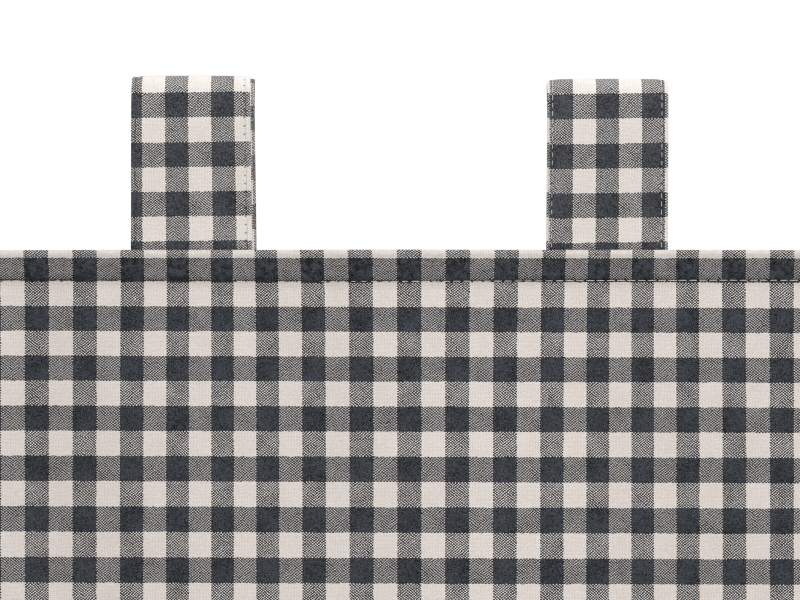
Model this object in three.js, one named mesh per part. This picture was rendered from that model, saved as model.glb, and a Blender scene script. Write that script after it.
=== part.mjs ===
// Tab-top cafe curtain: one hemmed gingham panel that hangs in shallow folds from six cloth tabs.
// Millimetres, +Z up. The front of the curtain faces -Y.
// The origin is on the line along the inside top of the tabs, where a rod bears, at mid-width.
import * as THREE from "three";

// Cloth: one layer of the panel, and one leg of a tab, which is two layers sewn together.
const CLOTH_THICK = 1.0;
const TAB_THICK = 1.6;
const SEAM_GAP = 0.3;

// Tabs: evenly spaced, the outer two flush with the panel's side edges.
const TAB_PITCH = 174;
const TAB_WIDTH = 50;
const TAB_INSIDE_RADIUS = 7;
const TAB_TAIL = 15;
const TAB_SPLIT_ABOVE_EDGE = 5;

// Panel: its hung width follows from the tabs, and its drop is measured from the tabs' inside top.
const PANEL_TOP = -71;
const PANEL_BOTTOM = -608;
const TOP_HEM = 13;
const BOTTOM_HEM = 25;
const SIDE_HEM = 10;
const HEM_STEP = 0.6;

// Folds: the bays between tabs stand forward and back by turns. At the top the tabs hold the cloth
// straight; lower down the folds run into one even wave.
const FOLDS_FREE_FROM = TOP_HEM + 10;
const FOLDS_FREE_AT = 180;
const WAVE_DEPTH_TOP = 11;
const WAVE_DEPTH_BOTTOM = 16;

// Mesh spacing of the panel.
const COLUMN_STEP = 14;
const ROW_STEP = 38;
const ARC_STEPS = 14;

// One row for each tab, from left to right: how high its top stands over the panel's edge, and its lean.
const TABS = [
  { name: "tab_1", rise: 72.8, leanDeg: 0.4 },
  { name: "tab_2", rise: 72.3, leanDeg: -0.5 },
  { name: "tab_3", rise: 73.0, leanDeg: 0.0 },
  { name: "tab_4", rise: 71.7, leanDeg: 0.0 },
  { name: "tab_5", rise: 72.9, leanDeg: 0.6 },
  { name: "tab_6", rise: 72.4, leanDeg: -0.3 },
];

// One row for each bay between two tabs: which way it stands, how deep it is at the top against the
// others, and how far its crest wanders sideways by the bottom hem.
const BAYS = [
  { forward: 1, depth: 0.85, drift: -7 },
  { forward: -1, depth: 1.05, drift: 4 },
  { forward: 1, depth: 1.0, drift: -3 },
  { forward: -1, depth: 0.95, drift: 6 },
  { forward: 1, depth: 0.8, drift: 5 },
];

const HALF_PITCHES = (TABS.length - 1) / 2;
const HALF_WIDTH = HALF_PITCHES * TAB_PITCH + TAB_WIDTH / 2;
const HEM_FRONT_Y = -TAB_THICK - SEAM_GAP - 2 * CLOTH_THICK;

const tabCentre = (index) => (index - HALF_PITCHES) * TAB_PITCH;

// Depth of the front of the cloth at x and height z.
function clothFrontY(x, z) {
  const below = PANEL_TOP - z;
  const share = below / (PANEL_TOP - PANEL_BOTTOM);
  const free = THREE.MathUtils.smoothstep(below, FOLDS_FREE_FROM, FOLDS_FREE_AT);
  const place = THREE.MathUtils.clamp(x / TAB_PITCH + HALF_PITCHES, 0, BAYS.length);
  const index = Math.min(Math.floor(place), BAYS.length - 1);
  const bay = BAYS[index];

  // Held by the tabs: a bulge over the open span, level with the tabs at both ends.
  const tabShare = TAB_WIDTH / 2 / TAB_PITCH;
  const span = THREE.MathUtils.clamp((place - index - tabShare) / (1 - 2 * tabShare), 0, 1);
  const held = bay.forward * bay.depth * Math.sin(Math.PI * span) ** 2;

  // Hanging free: one even wave, whose crests drift sideways on the way down.
  const drift = driftAt(place) * share;
  const wave = Math.cos((Math.PI * (x - drift)) / TAB_PITCH);

  const depth = THREE.MathUtils.lerp(WAVE_DEPTH_TOP, WAVE_DEPTH_BOTTOM, share);
  return HEM_FRONT_Y - depth * THREE.MathUtils.lerp(held, wave, free);
}

// Sideways drift at the bottom hem, eased from the middle of one bay to the middle of the next.
function driftAt(place) {
  const middle = THREE.MathUtils.clamp(place - 0.5, 0, BAYS.length - 1);
  const first = Math.min(Math.floor(middle), BAYS.length - 2);
  const ease = THREE.MathUtils.smoothstep(middle - first, 0, 1);
  return THREE.MathUtils.lerp(BAYS[first].drift, BAYS[first + 1].drift, ease);
}

// Evenly spaced values from one end to the other, no further apart than step.
function spaced(from, to, step) {
  const count = Math.ceil(Math.abs(to - from) / step);
  return Array.from({ length: count + 1 }, (_, i) => from + ((to - from) * i) / count);
}

// Rows of the panel from its top fold to its bottom fold. A row says its height, and how many layers its
// front and back stand behind the front of the cloth, so that a folded edge is round. The side hems add
// their layer below the top hem only: inside it they are pressed flat behind the outer tabs.
function panelRows() {
  const fold = CLOTH_THICK;
  const hemEnd = PANEL_TOP - TOP_HEM;
  const hemStart = PANEL_BOTTOM + BOTTOM_HEM;
  const field = spaced(hemEnd - HEM_STEP, hemStart + HEM_STEP, ROW_STEP);
  return [
    { z: PANEL_TOP, front: 0.75, back: 1.25, side: 0 },
    { z: PANEL_TOP - 0.3 * fold, front: 0.3, back: 1.7, side: 0 },
    { z: PANEL_TOP - fold, front: 0, back: 2, side: 0 },
    { z: hemEnd, front: 0, back: 2, side: 0 },
    ...field.map((z) => ({ z, front: 0, back: 1, side: 1 })),
    { z: hemStart, front: 0, back: 2, side: 1 },
    { z: PANEL_BOTTOM + fold, front: 0, back: 2, side: 1 },
    { z: PANEL_BOTTOM + 0.3 * fold, front: 0.3, back: 1.7, side: 1 },
    { z: PANEL_BOTTOM, front: 0.75, back: 1.25, side: 1 },
  ];
}

// Columns of the panel from left to right. Those in a side hem have one more layer at the back.
function panelColumns() {
  const inner = HALF_WIDTH - SIDE_HEM;
  const field = spaced(-inner + HEM_STEP, inner - HEM_STEP, COLUMN_STEP);
  return [
    { x: -HALF_WIDTH, extra: 1 },
    { x: -inner, extra: 1 },
    ...field.map((x) => ({ x, extra: 0 })),
    { x: inner, extra: 1 },
    { x: HALF_WIDTH, extra: 1 },
  ];
}

// A closed sheet: a front grid, a back grid and the rim that joins them.
function panelGeometry() {
  const rows = panelRows();
  const columns = panelColumns();
  const positions = [];
  for (const face of ["front", "back"]) {
    for (const row of rows) {
      for (const { x, extra } of columns) {
        const layers = face === "front" ? row.front : row.back + row.side * extra;
        positions.push(x, clothFrontY(x, row.z) + layers * CLOTH_THICK, row.z);
      }
    }
  }
  const across = columns.length;
  const down = rows.length;
  const at = (face, row, column) => face * across * down + row * across + column;
  const triangles = [];
  const quad = (a, b, c, d) => triangles.push(a, b, c, a, c, d);
  for (let r = 0; r < down - 1; r += 1) {
    for (let c = 0; c < across - 1; c += 1) {
      quad(at(0, r, c), at(0, r + 1, c), at(0, r + 1, c + 1), at(0, r, c + 1));
      quad(at(1, r, c), at(1, r, c + 1), at(1, r + 1, c + 1), at(1, r + 1, c));
    }
    quad(at(0, r, 0), at(1, r, 0), at(1, r + 1, 0), at(0, r + 1, 0));
    const last = across - 1;
    quad(at(0, r, last), at(0, r + 1, last), at(1, r + 1, last), at(1, r, last));
  }
  for (let c = 0; c < across - 1; c += 1) {
    quad(at(0, 0, c), at(0, 0, c + 1), at(1, 0, c + 1), at(1, 0, c));
    const last = down - 1;
    quad(at(0, last, c), at(1, last, c), at(1, last, c + 1), at(0, last, c + 1));
  }
  const geometry = new THREE.BufferGeometry();
  geometry.setAttribute("position", new THREE.Float32BufferAttribute(positions, 3));
  geometry.setIndex(triangles);
  geometry.computeVertexNormals();
  return geometry;
}

// Side outline of a loop at a given radius about the rod: an arc over the top whose ends run down as
// straight legs, tangent to it, to a half-width at the split. The first axis is depth and the second is
// height, and the points go from the back leg over the top to the front leg.
function loopOutline(radius, centreHeight, splitHalf, splitHeight) {
  const drop = centreHeight - splitHeight;
  const lean = Math.asin(radius / Math.hypot(drop, splitHalf)) - Math.atan2(splitHalf, drop);
  const points = [new THREE.Vector2(splitHalf, splitHeight)];
  for (const angle of spaced(-lean, Math.PI + lean, (Math.PI + 2 * lean) / ARC_STEPS)) {
    const height = centreHeight + radius * Math.sin(angle);
    points.push(new THREE.Vector2(radius * Math.cos(angle), height));
  }
  points.push(new THREE.Vector2(-splitHalf, splitHeight));
  return points;
}

// One tab: its two legs, the fold over the top and the flat tail behind the hem, across its whole width.
// Heights are measured from the panel's top edge.
function tabGeometry(rise) {
  const outside = TAB_INSIDE_RADIUS + TAB_THICK;
  const centre = rise - outside;
  const outer = loopOutline(outside, centre, TAB_THICK, TAB_SPLIT_ABOVE_EDGE);
  const shape = new THREE.Shape([
    new THREE.Vector2(-TAB_THICK, -TAB_TAIL),
    new THREE.Vector2(TAB_THICK, -TAB_TAIL),
    ...outer,
  ]);
  const slit = SEAM_GAP / 2;
  const inner = loopOutline(TAB_INSIDE_RADIUS, centre, slit, TAB_SPLIT_ABOVE_EDGE + TAB_THICK);
  shape.holes.push(new THREE.Path(inner.reverse()));
  const geometry = new THREE.ExtrudeGeometry(shape, { depth: TAB_WIDTH, bevelEnabled: false });
  geometry.translate(0, 0, -TAB_WIDTH / 2);
  // The outline's first axis becomes depth, its second height, and the extrusion runs along the rod.
  geometry.applyMatrix4(
    new THREE.Matrix4().makeBasis(
      new THREE.Vector3(0, 1, 0),
      new THREE.Vector3(0, 0, 1),
      new THREE.Vector3(1, 0, 0),
    ),
  );
  return geometry;
}

const gingham = new THREE.MeshStandardMaterial({ color: 0x8a8784, roughness: 0.9, metalness: 0 });
const tabGingham = new THREE.MeshStandardMaterial({ color: 0x8f8c89, roughness: 0.9, metalness: 0 });

const curtain = new THREE.Group();

const panel = new THREE.Mesh(panelGeometry(), gingham);
panel.name = "panel";
curtain.add(panel);

TABS.forEach(({ name, rise, leanDeg }, index) => {
  const tab = new THREE.Mesh(tabGeometry(rise), tabGingham);
  tab.name = name;
  tab.position.set(tabCentre(index), 0, PANEL_TOP);
  tab.rotation.y = THREE.MathUtils.degToRad(leanDeg);
  curtain.add(tab);
});

export default curtain;
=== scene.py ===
import math

import bmesh
import bpy
import numpy as np
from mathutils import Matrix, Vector


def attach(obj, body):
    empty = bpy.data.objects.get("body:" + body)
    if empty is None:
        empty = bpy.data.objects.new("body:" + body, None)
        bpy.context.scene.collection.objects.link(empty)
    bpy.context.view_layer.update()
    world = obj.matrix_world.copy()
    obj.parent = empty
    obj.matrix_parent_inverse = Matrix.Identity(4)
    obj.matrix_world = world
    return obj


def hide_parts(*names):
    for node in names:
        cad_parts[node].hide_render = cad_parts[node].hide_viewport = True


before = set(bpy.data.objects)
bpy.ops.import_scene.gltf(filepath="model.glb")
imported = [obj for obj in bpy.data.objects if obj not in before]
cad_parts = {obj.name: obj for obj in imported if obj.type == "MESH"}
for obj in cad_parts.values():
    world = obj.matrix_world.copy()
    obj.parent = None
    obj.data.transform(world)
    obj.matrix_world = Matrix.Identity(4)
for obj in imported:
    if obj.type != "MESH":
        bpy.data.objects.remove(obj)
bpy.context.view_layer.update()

# Sizes are in millimetres, as on a pattern sheet, and MM turns them into metres.
MM = 0.001

# Panel and tabs, as in the solids.
TAB_PITCH = 174.0
TAB_WIDTH = 50.0
TAB_COUNT = 6
TAB_THICK = 1.6
TAB_INSIDE_RADIUS = 7.0
TAB_TAIL = 15.0
TAB_SPLIT_ABOVE_EDGE = 5.0
PANEL_TOP = -71.0
PANEL_DROP = 537.0
HALF_WIDTH = (TAB_COUNT - 1) / 2 * TAB_PITCH + TAB_WIDTH / 2
HEM_FRONT_Y = -3.9

# Cloth as it is sewn: one layer, the layer that a hem adds, and where hems and stitch lines lie.
CLOTH_THICK = 0.8
HEM_LAYER = 0.9
FOLD_RADIUS = 0.85
TOP_STITCH = 13.0
TOP_HEM = 14.4
TOP_ROLL = 1.9
TOP_ROLL_REACH = 2.0
BOTTOM_STITCH = 23.5
BOTTOM_HEM = 25.0
SIDE_STITCH = 8.4
SIDE_HEM = 10.0
HEM_STITCH_PITCH = 4.3
TAB_STITCH_PITCH = 3.45
STITCH_GAP = 0.65

# Folds of the panel, as in the solids.
FOLDS_FREE_FROM = 23.0
FOLDS_FREE_AT = 180.0
WAVE_DEPTH_TOP = 11.0
WAVE_DEPTH_BOTTOM = 16.0
BAYS = (
    {"forward": 1, "depth": 0.85, "drift": -7.0},
    {"forward": -1, "depth": 1.05, "drift": 4.0},
    {"forward": 1, "depth": 1.0, "drift": -3.0},
    {"forward": -1, "depth": 0.95, "drift": 6.0},
    {"forward": 1, "depth": 0.8, "drift": 5.0},
)

# Gingham: each check is a stripe of warp ends by a stripe of weft picks, whole yarns of about these sizes.
CHECK_REPEAT_WIDE = 19.52
CHECK_TALL = 10.475
END_WIDE = 0.65
PICK_TALL = 0.55
ENDS_PER_CHECK = round(CHECK_REPEAT_WIDE / 2 / END_WIDE)
PICKS_PER_CHECK = round(CHECK_TALL / PICK_TALL)

# UV maps. The weave's map repeats: one unit of it holds this many checks across and down, an even number of
# each, and the unit that a bake would draw lies clear of the seams, so that it holds each yarn.
WEAVE_MAP = "OFBake"
SEAM_MAP = "seam"
PANEL_TILE = (16, 16)
ROWS_ABOVE_TILE = 8
TAB_TILE = (2, 4)

# Camera: its distance in front of the hem and its height, and the width of the view at the hem.
CAMERA_AWAY = 1900.0
CAMERA_HEIGHT = -92.0
VIEW_WIDTH = 334.4

# Tabs, each measure from left to right.
TAB_SIZES = {
    # The top's height over the panel's edge, and its tilt in degrees, as in the solids.
    "rise": (72.8, 72.3, 73.0, 71.7, 72.9, 72.4),
    "lean": (0.4, -0.5, 0.0, 0.0, 0.6, -0.3),
    # How far the cloth lies along the rod, and how much wider it is at the base.
    "shift": (0.1, -0.1, -0.3, 0.2, 0.0, -0.1),
    "flare": (0.3, 0.5, 0.7, 0.3, 0.4, 0.5),
    # How far the inner layer stands out past the outer one, and how far in the edge stitching runs.
    "under_left": (0.0, 0.9, 0.0, 1.25, 0.0, 0.5),
    "under_right": (0.7, 0.0, 2.08, 0.0, 0.8, 0.0),
    "sew_left": (2.2, 2.0, 2.3, 1.2, 2.4, 2.1),
    "sew_right": (2.4, 2.3, 2.5, 2.7, 2.2, 2.5),
    # The checks' column at the middle of the front leg, the height where a row begins, and their size.
    "column": (0.35, 1.55, 1.1, 0.56, 0.85, 1.8),
    "row": (62.8, 66.1, 65.75, 65.2, 60.9, 63.6),
    "wide": (9.6, 9.5, 9.58, 9.56, 9.55, 9.6),
    "tall": (10.3, 10.3, 10.38, 10.41, 10.35, 10.3),
    # How far off the grain the strip was cut, and the inner layer's checks against the outer one's.
    "twist_column": (0.004, -0.006, 0.0061, 0.0023, 0.007, -0.003),
    "twist_row": (-0.008, 0.007, 0.0125, 0.014, -0.01, 0.006),
    "under_column": (0.7, -0.8, 0.265, -0.35, 0.3, -1.2),
    "under_row": (0.3, -0.4, -0.55, 0.08, 0.6, 0.2),
    # How much deeper than usual the edge stitching was drawn into the cloth.
    "sunk": (0.1, 0.05, 0.24, 0.0, 0.05, 0.12),
}
TABS = [
    {"name": f"tab_{index + 1}", **{measure: sizes[index] for measure, sizes in TAB_SIZES.items()}}
    for index in range(TAB_COUNT)
]

# A tab's two layers: their half-width and thickness, how far they lie inside the solid's faces, and how much
# narrower the inner one is at an edge where it doesn't stand out.
TAB_HALF = 24.7
TAB_LAYER = 0.72
LAYER_INSET = 0.05
INNER_NARROWED = 0.25

# How a tab hangs: its legs curve out to the fold and bow in shallow swells, the fold sags at its edges, and
# past the fold the strip is a little narrower. LEG_MIDDLE is the middle of the front leg.
LEG_MIDDLE = 35.2
LEG_EASED = 0.55
SWAY = 0.22
SWAY_ACROSS = 9.0
SWAY_UP = 17.0
SWAY_TURN = 1.7
SWAY_FULL_AT = 20.0
FOLD_SAG = 0.55
FOLD_SAG_REACH = 12.0
BACK_NARROWED = 0.02
FOLD_FROM = 72.0
FOLD_TO = 100.0

# Relief across a tab: drawn in at its stitches, raised over its turned-in edges, and round at the edge.
TAB_CHANNEL_DEPTH = 0.18
TAB_CHANNEL_REACH = 0.8
TURNED_EDGE_AT = 5.0
TURNED_EDGE_REACH = 2.0
TURNED_EDGE_RAISED = 0.06
TAB_EDGE_ROUND = 0.4

# Mesh spacing of a tab: points on a leg and on the fold, even stations along the whole loop and along its
# front leg, and columns across.
LEG_POINTS = 60
FOLD_POINTS = 41
LOOP_STATIONS = 131
FRONT_STATIONS = 60
LOOP_SMOOTHINGS = 3
TAB_EDGE_STEPS = (0.0, 0.04, 0.14, 0.3)
TAB_MIDDLE_FROM = 0.7
TAB_COLUMN_STEP = 1.6


def linear(hex_colour):
    """The linear RGBA of an sRGB hex colour."""
    parts = (int(hex_colour[i:i + 2], 16) / 255 for i in (0, 2, 4))
    return (*(p / 12.92 if p <= 0.04045 else ((p + 0.055) / 1.055) ** 2.4 for p in parts), 1.0)


def add_node(tree, kind, settings=None, inputs=None):
    """Adds a node, sets its properties, and sets or links its inputs."""
    made = tree.nodes.new(kind)
    for name, value in (settings or {}).items():
        setattr(made, name, value)
    for name, value in (inputs or {}).items():
        if isinstance(value, bpy.types.NodeSocket):
            tree.links.new(value, made.inputs[name])
        else:
            made.inputs[name].default_value = value
    return made


def new_material(name, values):
    """A material whose shader's sockets have these values, with its node tree and those sockets."""
    material = bpy.data.materials.new(name)
    material.use_nodes = True
    sockets = material.node_tree.nodes["Principled BSDF"].inputs
    for socket, value in values.items():
        sockets[socket].default_value = value
    return material, material.node_tree, sockets


def add_object(name, data):
    """An object in the scene, at the origin."""
    made = bpy.data.objects.new(name, data)
    bpy.context.scene.collection.objects.link(made)
    return made


def smoothstep(value, low, high):
    """0 up to low and 1 from high, eased at both."""
    share = np.clip((value - low) / (high - low), 0, 1)
    return share * share * (3 - 2 * share)


def crown(inward, radius):
    """A quarter circle: 0 at an edge, and 1 from a radius in."""
    return np.sqrt(1 - (1 - np.clip(inward / radius, 0, 1)) ** 2)


def bell(distance, reach):
    """1 at no distance, fading away on both sides."""
    return np.exp(-((distance / reach) ** 2))


# Swells of hung cotton: broad ones, which bend on their way down, and narrow ones, which slant.
RUMPLE_HEIGHT = 0.28
RUMPLE_FULL_AT = 60.0
BROAD_ACROSS = 21.0
BROAD_DOWN = 39.0
BROAD_START = 1.3
BROAD_BEND = 0.6
BROAD_BEND_DOWN = 47.0
NARROW_SHARE = 0.7
NARROW_ACROSS = 13.7
NARROW_DOWN = 71.0
NARROW_START = 0.8
NARROW_SLANT_ACROSS = 190.0
NARROW_SLANT_DOWN = 58.0


def rumple(x, below):
    """The slight unevenness of hung cotton, in millimetres: long shallow swells that never repeat."""
    bend = BROAD_BEND * np.sin(below / BROAD_BEND_DOWN)
    broad = np.sin(x / BROAD_ACROSS + bend) * np.sin(below / BROAD_DOWN + BROAD_START)
    slanted = np.sin(x / NARROW_ACROSS - below / NARROW_SLANT_DOWN + NARROW_START)
    narrow = slanted * np.sin(below / NARROW_DOWN + x / NARROW_SLANT_ACROSS)
    return RUMPLE_HEIGHT * (broad + NARROW_SHARE * narrow)


# The hem's stitch line strays up and down in long waves.
STITCH_STRAY = 0.28
STITCH_STRAY_FROM = -20.0
STITCH_STRAY_LENGTH = 55.0


def top_stitch(x):
    """Distance of the hem's stitch line below the top edge: sewn by hand and eye, so it strays a little."""
    return TOP_STITCH + STITCH_STRAY * np.cos((x - STITCH_STRAY_FROM) / STITCH_STRAY_LENGTH)


def top_roll(below, side):
    """How far the top hem rolls forward: round over its fold and at its two ends, easing back to the line."""
    eased = np.clip((TOP_STITCH - below) / (TOP_STITCH - TOP_ROLL_REACH), 0, 1)
    return TOP_ROLL * crown(np.minimum(below, side), TOP_ROLL_REACH) * eased


def cloth_front(x, below):
    """Depth of the panel's front at x, and at a distance below its top edge."""
    share = below / PANEL_DROP
    free = smoothstep(below, FOLDS_FREE_FROM, FOLDS_FREE_AT)
    place = np.clip(x / TAB_PITCH + (TAB_COUNT - 1) / 2, 0, len(BAYS))
    index = np.minimum(place.astype(int), len(BAYS) - 1)
    reach = np.array([bay["forward"] * bay["depth"] for bay in BAYS])[index]
    tab_share = TAB_WIDTH / 2 / TAB_PITCH
    span = np.clip((place - index - tab_share) / (1 - 2 * tab_share), 0, 1)
    held = reach * np.sin(np.pi * span) ** 2

    middle = np.clip(place - 0.5, 0, len(BAYS) - 1)
    first = np.minimum(middle.astype(int), len(BAYS) - 2)
    drifts = np.array([bay["drift"] for bay in BAYS])
    ease = smoothstep(middle - first, 0, 1)
    drift = (drifts[first] + (drifts[first + 1] - drifts[first]) * ease) * share
    wave = np.cos(np.pi * (x - drift) / TAB_PITCH)

    depth = WAVE_DEPTH_TOP + (WAVE_DEPTH_BOTTOM - WAVE_DEPTH_TOP) * share
    swell = rumple(x, below) * smoothstep(below, TOP_STITCH, RUMPLE_FULL_AT)
    return HEM_FRONT_Y - depth * (held + (wave - held) * free) + swell


# DRAWN_MIDDLE is a place where they are narrowest, and CREST_AT one where they are widest, with its
# column.
DRAWN_LOW = 0.062
DRAWN_EDGE = 0.058
DRAWN_FADE = 29.0
DRAWN_MIDDLE = -77.3
CREST_AT = 9.8
CREST_COLUMN = 1.09

# The rows begin a little below the edge. They sway, they slope across the panel below its hem, and the hem's
# roll and its seam each take up a little cloth.
FIRST_ROW = 3.37
ROW_SWAY = 0.065
ROW_SWAY_LENGTH = 140.0
ROW_SLOPE = 0.0031
ROW_SLOPE_FROM = 14.0
ROW_ROLLED = 0.35
ROW_ROLLED_FADE = 8.0
ROW_TUCKED = 0.38
ROW_TUCKED_REACH = 6.0

# The hem was also stretched a little wider as it was sewn.
HEM_SPREAD = 0.004
HEM_SPREAD_FROM = 10.0
HEM_SPREAD_FADE = 11.0


def panel_checks(x, below):
    """Column and row of the gingham, in checks, at x and a distance below the top edge."""
    drawn = DRAWN_LOW + DRAWN_EDGE * np.exp(-np.maximum(below, 0) / DRAWN_FADE)
    phase = 2 * np.pi * (x - DRAWN_MIDDLE) / TAB_PITCH
    eased = x + drawn * TAB_PITCH / (2 * np.pi) * (np.sin(phase) / 2 + np.sin(2 * phase) / 16)
    spread = HEM_SPREAD * (x - HEM_SPREAD_FROM) * np.exp(-np.maximum(below, 0) / HEM_SPREAD_FADE)
    column = CREST_COLUMN + 2 * (eased - spread - CREST_AT) / CHECK_REPEAT_WIDE
    slope = ROW_SLOPE * x * np.clip(below / ROW_SLOPE_FROM, 0, 1)
    rolled = ROW_ROLLED * np.exp(-np.maximum(below, 0) / ROW_ROLLED_FADE)
    tucked = ROW_TUCKED * bell(below - TOP_STITCH, ROW_TUCKED_REACH)
    row = (below - slope - rolled + tucked - FIRST_ROW) / CHECK_TALL
    return np.stack([column, row + ROW_SWAY * np.sin(np.pi * below / ROW_SWAY_LENGTH)], -1)


def as_seen(x, below, depth):
    nearer = CAMERA_AWAY / (CAMERA_AWAY + depth)
    eye_below = PANEL_TOP - CAMERA_HEIGHT
    return x * nearer, eye_below + (below - eye_below) * nearer


# How far on both sides of a stitch line its map reaches.
SEAM_REACH = 6.0


def panel_seam(x, below):
    """Stitches along the nearest hem's line, and millimetres past that line towards the field."""
    past_top = below - top_stitch(x)
    past_bottom = PANEL_DROP - below - BOTTOM_STITCH
    past_side = HALF_WIDTH - np.abs(x) - SIDE_STITCH
    past_level = np.minimum(past_top, past_bottom)
    count = np.where(past_side < past_level, below, x) / HEM_STITCH_PITCH
    return np.stack([count, np.clip(np.minimum(past_level, past_side), -SEAM_REACH, SEAM_REACH)], -1)


def spaced(low, high, step):
    """Even places from low to high, no further apart than the step."""
    return list(np.linspace(low, high, max(2, math.ceil((high - low) / step) + 1)))


# Mesh spacing of the panel: its field, its folded edges and its stitch lines.
COLUMN_STEP = 2.7
ROW_STEP = 8.0
FOLD_STEPS = (0.0, 0.06, 0.25, 0.55, 0.85, 1.2, 1.6, 2.0, 2.8)
SEAM_STEPS = (-2.0, -1.4, -1.0, -0.7, -0.4, -0.1, 0.2, 0.5, 0.8, 1.1)
HEM_EDGE_STEPS = (-0.2, -0.05, 0.0, 0.5)
HEM_MIDDLE_FROM = 4.2
HEM_MIDDLE_SHORT = 3.0
HEM_MIDDLE_STEP = 2.4


def edge_steps(stitch, hem):
    """Distances in from a hemmed edge: close at its fold, at its stitch line and at the hem's own edge."""
    middle = spaced(HEM_MIDDLE_FROM, stitch - HEM_MIDDLE_SHORT, HEM_MIDDLE_STEP)
    steps = [*FOLD_STEPS, *middle, *(stitch + s for s in SEAM_STEPS), *(hem + s for s in HEM_EDGE_STEPS)]
    return sorted({round(s, 3) for s in steps})


# Relief of a hem: the shoulder at its edge, the channel along its stitches with the cloth left beneath it,
# and the ripples beside them.
HEM_SHOULDER = 0.25
CHANNEL_DEPTH = 0.26
CHANNEL_REACH = 0.75
CHANNEL_LEFT = 0.2
PUCKER = 0.05
PUCKER_REACH = 4.0
PUCKER_SHORT = 1.9
PUCKER_WANDER = 1.2
PUCKER_WANDER_LENGTH = 17.0
PUCKER_LONG = 3.1
PUCKER_LONG_START = 0.7
PUCKER_LONG_SHARE = 0.8


def hem_share(inward, hem):
    """1 inside a hem and 0 beyond it, with a rounded shoulder at its edge."""
    return np.sqrt(np.clip((hem - inward) / HEM_SHOULDER, 0, 1))


def seam_dip(inward, stitch):
    """The channel that a line of stitches pulls into the cloth."""
    return CHANNEL_DEPTH * bell(inward - stitch, CHANNEL_REACH)


def pucker(along, inward, stitch):
    """Small ripples beside a line of stitches, which fade away from it."""
    wander = PUCKER_WANDER * np.sin(along / PUCKER_WANDER_LENGTH)
    ripple = np.sin(along / PUCKER_SHORT + wander)
    ripple = ripple + PUCKER_LONG_SHARE * np.sin(along / PUCKER_LONG + PUCKER_LONG_START)
    return PUCKER * ripple * bell(inward - stitch, PUCKER_REACH)


# Points nearer than this, in metres, are one point.
MERGE_WITHIN = 2e-6


def make_object(name, vertices, faces, maps, material):
    """A mesh object whose corners carry two UV maps: the weave's, in its repeats, and the seams', with the
    count of stitches along the nearest line and the distance past it in millimetres."""
    mesh = bpy.data.meshes.new(name)
    mesh.from_pydata(vertices.tolist(), [], faces)
    for label, corners in maps.items():
        layer = mesh.uv_layers.new(name=label)
        layer.uv.foreach_set("vector", corners.astype(np.float32).ravel())
    mesh.materials.append(material)
    work = bmesh.new()
    work.from_mesh(mesh)
    bmesh.ops.remove_doubles(work, verts=work.verts, dist=MERGE_WITHIN)
    # At a folded corner the front and the back meet in three points, so each is split at that corner.
    for corner in [vert for vert in work.verts if len(vert.link_faces) == 2]:
        beside = {edge.other_vert(corner) for edge in corner.link_edges}
        for face in list(corner.link_faces):
            opposite = next(vert for vert in face.verts if vert is not corner and vert not in beside)
            bmesh.utils.face_split(face, corner, opposite)
    work.to_mesh(mesh)
    work.free()
    mesh.shade_smooth()
    return add_object(name, mesh)


def panel_faces(x, below):
    """Depth of the panel's front and of its back, with the hems' layers, folds, channels and puckers."""
    side = HALF_WIDTH - np.abs(x)
    from_bottom = PANEL_DROP - below
    top_line = top_stitch(x)
    in_top = hem_share(below, TOP_HEM)
    in_bottom = hem_share(from_bottom, BOTTOM_HEM)
    in_side = hem_share(side, SIDE_HEM) * (1 - in_top)
    thick = CLOTH_THICK + HEM_LAYER * (in_top + in_bottom + in_side)
    rounded = 1 - crown(np.minimum(np.minimum(below, from_bottom), side), FOLD_RADIUS)
    dip = seam_dip(below, top_line) + seam_dip(from_bottom, BOTTOM_STITCH)
    dip = np.maximum(dip, seam_dip(side, SIDE_STITCH) * (below > top_line))
    dip = np.minimum(dip, thick / 2 - CHANNEL_LEFT) * (1 - rounded)
    ripple = pucker(x, below, top_line) + pucker(x, from_bottom, BOTTOM_STITCH)
    lie = cloth_front(x, below) + ripple
    return lie + rounded * thick / 2 + dip - top_roll(below, side), lie + thick - rounded * thick / 2 - dip


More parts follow.
